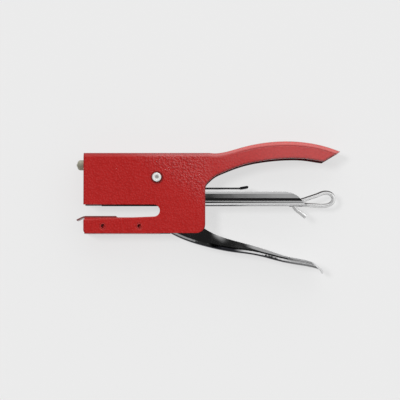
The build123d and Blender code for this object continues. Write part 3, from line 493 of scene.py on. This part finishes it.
def metal(name, light, dark, roughness, grain, streak=ROUND_GRAIN, wave=0.0, metallic=1.0, form=None,
          painted_shade=None, shade_colour=FOLD_SHADE_COLOUR, scuff=None):
    """Metal with a drawn or rolled grain: colour varies along streaks, and wave dents it softly.
    form gives the height of a pressed shape, from places in the side view.
    The shade function gives how far the metal takes the shade colour, which is painted shade, from place
    and normal.
    scuff gives the roughness that wear has added, from place."""
    made, tree, shader, place, normal = material(name)
    stretched = add(tree, "ShaderNodeMapping", {"Vector": place, "Scale": streak}).outputs["Vector"]
    lines = noise(tree, stretched, grain, GRAIN_DETAIL, GRAIN_ROUGHNESS)
    cloud = noise(tree, place, CLOUD_SIZE)
    tone = mixed(tree, remap(tree, lines, *NOISE_SPAN), dark, light)
    # painted shade: a colour that stands in for shade and dark reflections
    if painted_shade:
        tone = mixed(tree, painted_shade(tree, place, normal), tone, shade_colour)
    rough = remap(tree, cloud, *NOISE_SPAN, *roughness)
    if scuff:
        rough = plus(tree, rough, scuff(tree, place))
    relief = soft_edge(tree, METAL_EDGE)
    if form:
        relief = bump(tree, form(tree, *side_view(tree, place)), 1.0, relief)
    if wave:
        relief = bump(tree, cloud, wave, relief)
    relief = bump(tree, lines, GRAIN_DEPTH, relief, GRAIN_STRENGTH)
    tree.links.new(tone, shader.inputs["Base Color"])
    tree.links.new(rough, shader.inputs["Roughness"])
    tree.links.new(relief, shader.inputs["Normal"])
    shader.inputs["Metallic"].default_value = metallic
    return made


def chrome(name, form=None, painted_shade=None, scuff=None):
    return metal(
        name, light=(0.80, 0.80, 0.80, 1), dark=(0.76, 0.76, 0.77, 1), roughness=(0.03, 0.07), grain=0.4,
        streak=DRAWN_GRAIN, wave=0.012, form=form, painted_shade=painted_shade, scuff=scuff,
    )


def slope_off(tree, inside, width, slope):
    """Height of a strip that slopes away over width towards an edge, at a distance inside that edge."""
    return times(tree, most(tree, minus(tree, width, inside), 0), -slope)


def magazine_form(tree, x, y):
    """Rolled top, sloping foot, pressed step and slightly bowed rear half of the magazine's sides."""
    roll = slope_off(tree, minus(tree, MAGAZINE_TOP, y), MAGAZINE_ROLL, MAGAZINE_ROLL_SLOPE)
    foot = slope_off(tree, minus(tree, y, MAGAZINE_LOW), MAGAZINE_FOOT, MAGAZINE_FOOT_SLOPE)
    step = remap(tree, y, *MAGAZINE_STEP, 0, MAGAZINE_STEP_HEIGHT, "LINEAR")
    behind = most(tree, minus(tree, x, MAGAZINE_BOW_START), 0)
    bow = times(tree, times(tree, behind, behind), -MAGAZINE_BOW / 2)
    return plus(tree, plus(tree, roll, foot), plus(tree, step, bow))


def lever_form(tree, x, y):
    """Band along the lever's upper edge towards its end, and a shallow dent before it."""
    upper = curve(tree, x, outline("lever", LEVER_SPAN, LEVER_WALL))
    band = slope_off(tree, minus(tree, upper, y), LEVER_BAND, LEVER_BAND_SLOPE)
    band = times(tree, band, remap(tree, x, *LEVER_BAND_START))
    inside = most(tree, minus(tree, y, minus(tree, upper, LEVER_DENT)), 0)
    dent = times(tree, times(tree, inside, inside), -LEVER_DENT_SLOPE / (2 * LEVER_DENT))
    near = remap(tree, apart(tree, x, LEVER_DENT_AT), LEVER_DENT_HALF, 0)
    return plus(tree, band, times(tree, dent, near))


def fold_shade(tree, place, normal, slopes, beyond):
    """Painted dark reflection on a lower fold, between two slopes and beyond a distance from the middle
    plane.
    """
    sloped = remap(tree, axes(tree, normal)["Y"], *slopes)
    return times(tree, sloped, remap(tree, from_middle(tree, place), *beyond))


def magazine_fold_shade(tree, place, normal):
    """Painted dark reflection on the lower folds, fading towards the rear end."""
    x, _ = side_view(tree, place)
    under = fold_shade(tree, place, normal, MAGAZINE_UNDER, MAGAZINE_FOLD)
    return times(tree, under, remap(tree, x, *MAGAZINE_SHADE_FADE, 1, MAGAZINE_SHADE_END_SHARE))


def lever_fold_shade(tree, place, normal):
    """Painted dark reflection on the lower folds, with a stretch in the middle where the whole fold is
    painted dark.
    """
    x, _ = side_view(tree, place)
    dark_stretch = times(tree, remap(tree, x, *LEVER_DARK_START), remap(tree, x, *LEVER_DARK_END))
    dark_stretch = times(tree, dark_stretch, fold_shade(tree, place, normal, LEVER_DARK_SLOPES, LEVER_FOLD))
    under = fold_shade(tree, place, normal, LEVER_UNDER, LEVER_FOLD)
    under = times(tree, under, remap(tree, x, *LEVER_SCUFF_START, 1, LEVER_UNDER_END_SHARE))
    return most(tree, dark_stretch, under)


def lever_scuff(tree, place):
    """Lever that is scuffed rougher towards its end."""
    x, _ = side_view(tree, place)
    return remap(tree, x, *LEVER_SCUFF_START, 0, LEVER_SCUFF)


def wire_sides(tree, place, normal):
    """Painted shade on the upper side of the pull wire and on its flanks."""
    _, y = side_view(tree, place)
    way = axes(tree, normal)
    flank = times(tree, remap(tree, way["Z"], *WIRE_SIDES), WIRE_SIDE_SHARE)
    upper = times(tree, remap(tree, way["Y"], *WIRE_UPPER), remap(tree, y, *WIRE_RISE))
    return most(tree, flank, upper)


def dimple_and_rim(tree, place, normal):
    """Painted shade in the middle dimple and on the rim of the pin's head."""
    out = distance(tree, place)
    dimple = remap(tree, out, *PIN_DIMPLE, 0, PIN_DIMPLE_SHARE)
    return most(tree, dimple, remap(tree, out, *PIN_RIM, 0, PIN_RIM_SHARE))


def floor_material():
    """Pale ground. The camera and mirrors see it glow, so that shadows stay faint."""
    made, tree, shader, place, _ = material("pale_floor")
    darker = tuple(c * FLOOR_MOTTLE for c in FLOOR_COLOUR)
    tone = mixed(tree, noise(tree, place, FLOOR_GRAIN), darker, FLOOR_COLOUR)
    tree.links.new(tone, shader.inputs["Base Color"])
    shader.inputs["Roughness"].default_value = FLOOR_ROUGHNESS
    shader.inputs["Specular IOR Level"].default_value = 0.0
    seen = add(tree, "ShaderNodeAddShader", {
        0: add(tree, "ShaderNodeEmission", {"Strength": FLOOR_GLOW}).outputs[0],
        1: add(tree, "ShaderNodeBsdfDiffuse", {"Color": FLOOR_SHADED}).outputs[0],
    })
    ray = add(tree, "ShaderNodeLightPath").outputs
    looked_at = most(tree, ray["Is Camera Ray"], ray["Is Glossy Ray"])
    looked_at = most(tree, looked_at, ray["Is Transmission Ray"])
    both = add(tree, "ShaderNodeMixShader", {0: looked_at, 1: shader.outputs[0], 2: seen.outputs[0]})
    tree.links.new(both.outputs[0], tree.nodes["Material Output"].inputs["Surface"])
    return made


# Finishes by material slot, and of the pieces that have their own
FINISHES = {
    "red_paint": hammertone(),
    "bright_chrome": chrome("bright_chrome"),
    "zinc": metal(
        "zinc_plate", light=(0.90, 0.90, 0.88, 1), dark=(0.80, 0.80, 0.78, 1), roughness=(0.40, 0.50),
        grain=0.3, metallic=0.5,
    ),
    "dull_plate": metal(
        "dull_plate", light=(0.40, 0.39, 0.31, 1), dark=(0.33, 0.32, 0.25, 1), roughness=(0.5, 0.6),
        grain=0.35, metallic=0.5,
    ),
    "steel": metal(
        "bare_steel", light=(0.50, 0.50, 0.51, 1), dark=(0.40, 0.40, 0.41, 1), roughness=(0.18, 0.28),
        grain=0.3, streak=ROLLED_GRAIN,
    ),
    "blued_steel": metal(
        "blued_steel", light=(0.05, 0.05, 0.055, 1), dark=(0.03, 0.03, 0.035, 1), roughness=(0.25, 0.35),
        grain=0.3, streak=ROLLED_GRAIN,
    ),
    "spring_wire": metal(
        "spring_wire", light=(0.45, 0.45, 0.46, 1), dark=(0.33, 0.33, 0.34, 1), roughness=(0.22, 0.32),
        grain=0.25,
    ),
}
FORMED = {
    # the plated channels carry painted dark reflection on their lower folds
    "magazine_channel": chrome("magazine_chrome", magazine_form, magazine_fold_shade),
    "lever": chrome("lever_chrome", lever_form, lever_fold_shade, lever_scuff),
    # pull wire: painted shade on its upper side and flanks
    "pull_rod": metal(
        "pull_wire", light=(0.88, 0.88, 0.88, 1), dark=(0.78, 0.78, 0.78, 1), roughness=(0.34, 0.44),
        grain=0.4, metallic=0.6, painted_shade=wire_sides, shade_colour=WIRE_SHADE_COLOUR,
    ),
    # pin head: painted shade in its dimple and on its rim
    "pivot_pin": metal(
        "pin_zinc", light=(0.92, 0.92, 0.90, 1), dark=(0.84, 0.84, 0.82, 1), roughness=(0.40, 0.50),
        grain=0.3, metallic=0.4, painted_shade=dimple_and_rim, shade_colour=PIN_SHADE_COLOUR,
    ),
    # dark steel with a red tint that is a painted reflection of the red arm
    "anvil_plate": metal(
        "red_tinted_steel", light=(0.28, 0.07, 0.065, 1), dark=(0.22, 0.05, 0.05, 1), roughness=(0.2, 0.3),
        grain=0.3, streak=ROLLED_GRAIN, metallic=0.4,
    ),
}


def dress():
    """Give every CAD piece its finish."""
    for row in frame["record"]["subparts"]:
        finish = FORMED.get(row["node"], FINISHES[row["material_slot"]])
        piece = parts[row["node"]]
        piece.data.materials.clear()
        piece.data.materials.append(finish)


def springs():
    """Copies of the CAD springs in their place: the return spring stays where it is, and the clamp and
    pusher springs are attached to the magazine.
    """
    wound = {}
    for node in ("return_spring", "clamp_spring", "pusher_spring"):
        made = bpy.data.objects.new(node + "_wound", parts[node].data.copy())
        bpy.context.scene.collection.objects.link(made)
        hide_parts(node)
        wound[node] = made
    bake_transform(wound["return_spring"])
    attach(wound["clamp_spring"], "magazine")
    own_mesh(wound["clamp_spring"])
    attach(wound["pusher_spring"], "magazine")
    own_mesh(wound["pusher_spring"])


def floor():
    mesh = bpy.data.meshes.new("floor")
    corners = [(x * FLOOR_HALF, y * FLOOR_HALF, 0) for x, y in ((-1, -1), (1, -1), (1, 1), (-1, 1))]
    mesh.from_pydata(corners, [], [(0, 1, 2, 3)])
    mesh.materials.append(floor_material())
    made = bpy.data.objects.new("floor", mesh)
    bpy.context.scene.collection.objects.link(made)


def room():
    """World that the metal mirrors: shades overhead, a bright side and two panels with a dark gap."""
    world = bpy.data.worlds.new("room")
    world.use_nodes = True
    tree = world.node_tree
    tree.nodes.clear()
    way = add(tree, "ShaderNodeTexCoord").outputs["Generated"]
    to = axes(tree, way)
    bright_way = (math.cos(BRIGHT_TURN), math.sin(BRIGHT_TURN), 0)
    dot = add(tree, "ShaderNodeVectorMath", {0: way, 1: bright_way}, operation="DOT_PRODUCT")
    across = dot.outputs["Value"]
    shade = ROOM_SHADES[0][1]
    for (low, before), (high, after) in zip(ROOM_SHADES, ROOM_SHADES[1:]):
        shade = plus(tree, shade, remap(tree, across, low, high, 0, after - before, "LINEAR"))
    shade = plus(tree, shade, remap(tree, to["Y"], *SIDE_SPAN, 0, SIDE_LIGHT))
    turned = maths(tree, "DIVIDE", to["X"], to["Y"])
    beside = apart(tree, turned, PANEL_GAP)
    panel = remap(tree, to["Y"], PANEL_FULL, PANEL_FROM, PANEL_LIGHT, 0)
    for share in (
        remap(tree, to["Z"], *PANEL_FOOT),
        remap(tree, beside, PANEL_GAP_HALF, PANEL_GAP_HALF + PANEL_GAP_BLUR),
        remap(tree, turned, PANEL_GAP, PANEL_GAP + PANEL_GAP_BLUR, 1, PANEL_FAR),
    ):
        panel = times(tree, panel, share)
    background = add(tree, "ShaderNodeBackground", {"Strength": plus(tree, shade, panel)})
    add(tree, "ShaderNodeOutputWorld", {"Surface": background.outputs[0]})
    bpy.context.scene.world = world


def lamp():
    """Soft light for the matt side of things. Glossy surfaces mirror only the room."""
    data = bpy.data.lights.new("soft_top", "SUN")
    data.energy = LAMP_POWER
    data.angle = LAMP_SPREAD
    made = bpy.data.objects.new("soft_top", data)
    made.rotation_euler = LAMP_LEAN
    made.visible_glossy = False
    bpy.context.scene.collection.objects.link(made)


def camera():
    data = bpy.data.cameras.new("camera")
    made = bpy.data.objects.new("camera", data)
    bpy.context.scene.collection.objects.link(made)
    way = TARGET - CAMERA
    made.location = CAMERA
    made.rotation_euler = way.to_track_quat("-Z", "Y").to_euler()
    data.sensor_width = SENSOR
    data.lens = SENSOR * way.length / PICTURE_WIDTH
    data.clip_start = CLIP_START
    data.clip_end = CLIP_END
    bpy.context.scene.camera = made


dress()
springs()
floor()
room()
lamp()
camera()
bpy.context.scene.view_settings.view_transform = "Standard"
